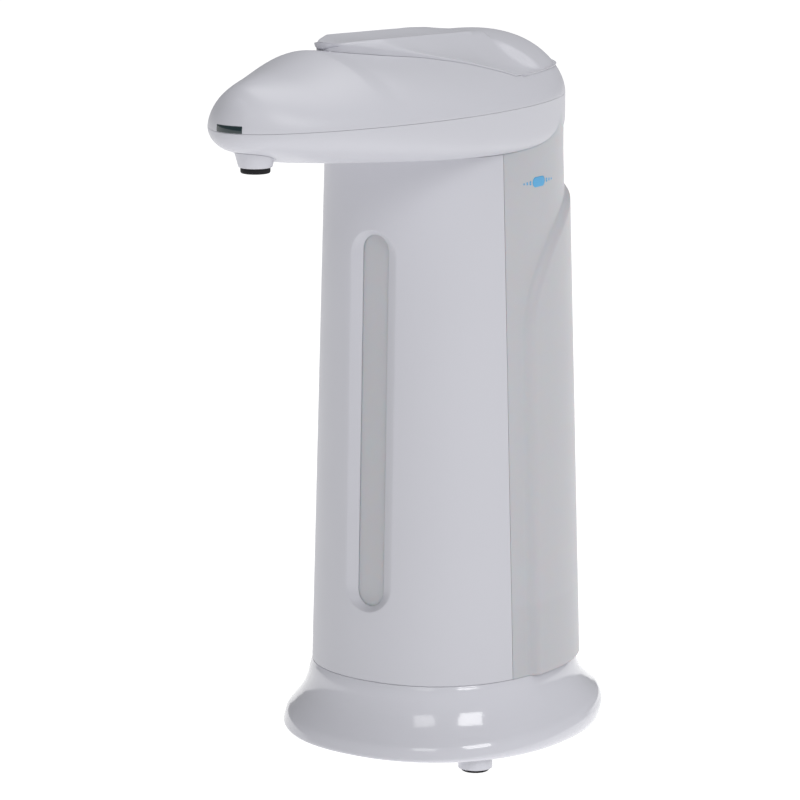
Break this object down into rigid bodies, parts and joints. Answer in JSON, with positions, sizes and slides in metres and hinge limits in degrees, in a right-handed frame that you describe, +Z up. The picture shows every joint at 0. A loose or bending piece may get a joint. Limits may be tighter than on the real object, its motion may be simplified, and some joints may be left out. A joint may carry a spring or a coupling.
{
  "type": "automatic soap dispenser",
  "caption": "Free-standing battery-powered soap dispenser: tapered oval column with a translucent tank, flared foot and a long-nosed head with a sensor, a spout and a hinged refill lid.",
  "frame": {"origin": "on the table, under the middle of the object's bounding box", "axes": "+Z up, the nose and spout point along -Y, +X to the right seen from the front of the column"},
  "size_m": [0.1132, 0.191, 0.2685],
  "materials": {
    "satin_white_plastic": "satin white moulded plastic with a very fine bead-blast grain",
    "gloss_white_plastic": "polished white moulded plastic",
    "milky_tank": "translucent milky grey plastic, smooth",
    "inner_plastic": "plain moulded grey plastic",
    "soft_seal": "soft grey silicone rubber",
    "black_rubber": "matt black rubber",
    "dark_window": "dark infrared-clear plastic, polished",
    "circuit_board": "green resist over fibre board",
    "steel": "bright plated steel",
    "brass": "spring brass strip",
    "gear_nylon": "natural nylon",
    "clear_hose": "clear soft tubing",
    "lead_jacket": "red and black lead insulation",
    "black_plastic": "matt black plastic",
    "battery_sleeve": "plain green shrink sleeve"
  },
  "bodies": {
    "root": {"foot_shell": "gloss_white_plastic", "floor_plate": "gloss_white_plastic", "foot_pad_front_left": "black_rubber", "foot_pad_front_right": "black_rubber", "foot_pad_rear_left": "black_rubber", "foot_pad_rear_right": "black_rubber", "foot_screw_front_left": "steel", "foot_screw_front_right": "steel", "foot_screw_rear_left": "steel", "foot_screw_rear_right": "steel", "battery_tray": "inner_plastic", "battery_1": "battery_sleeve", "battery_2": "battery_sleeve", "battery_3": "battery_sleeve", "battery_4": "battery_sleeve", "contact_plate_front": "brass", "contact_plate_rear": "brass", "battery_cover": "gloss_white_plastic", "battery_cover_screw": "steel", "switch_housing": "inner_plastic", "front_shell": "satin_white_plastic", "tank": "milky_tank", "tank_strainer": "inner_plastic", "head_lower_shell": "satin_white_plastic", "head_upper_shell": "satin_white_plastic", "lid_hinge_pin": "steel", "filler_deck": "inner_plastic", "filler_funnel": "inner_plastic", "filler_seal": "soft_seal", "spout": "satin_white_plastic", "nozzle_tip": "black_rubber", "sensor_window": "dark_window", "main_board": "circuit_board", "sensor_board": "circuit_board", "infrared_emitter": "dark_window", "infrared_receiver": "dark_window", "motor": "steel", "motor_bracket": "inner_plastic", "pump_body": "inner_plastic", "pump_cover": "inner_plastic", "suction_hose": "clear_hose", "delivery_hose": "clear_hose", "power_lead": "lead_jacket", "motor_lead": "lead_jacket"},
    "lid": {"refill_lid": "satin_white_plastic"},
    "switch_knob": {"power_switch_knob": "black_plastic"},
    "pump_shaft": {"drive_wheel": "gear_nylon", "pump_drive_gear": "gear_nylon"},
    "motor_shaft": {"motor_pinion": "gear_nylon"},
    "driven_shaft": {"pump_driven_gear": "gear_nylon"}
  },
  "joints": [
    {"name": "lid_hinge", "type": "hinge", "parent": "root", "child": "lid", "pos_m": [0, 0.08092, 0.2517], "axis": [-1, 0, 0], "range_deg": [0, 70]},
    {"name": "switch_slide", "type": "slide", "parent": "root", "child": "switch_knob", "axis": [1, 0, 0], "range_m": [0, 0.003]},
    {"name": "pump_spin", "type": "hinge", "parent": "root", "child": "pump_shaft", "pos_m": [-0.002, 0.02386, 0.0441], "axis": [0, 1, 0], "continuous": true},
    {"name": "motor_spin", "type": "hinge", "parent": "root", "child": "motor_shaft", "pos_m": [-0.0164, 0.02386, 0.0441], "axis": [0, 1, 0], "continuous": true},
    {"name": "driven_spin", "type": "hinge", "parent": "root", "child": "driven_shaft", "pos_m": [0.008, 0.01536, 0.0441], "axis": [0, 1, 0], "continuous": true}
  ],
  "couplings": [
    {"joint": "motor_spin", "follows": "pump_spin", "ratio": -2},
    {"joint": "driven_spin", "follows": "pump_spin", "ratio": -1}
  ]
}
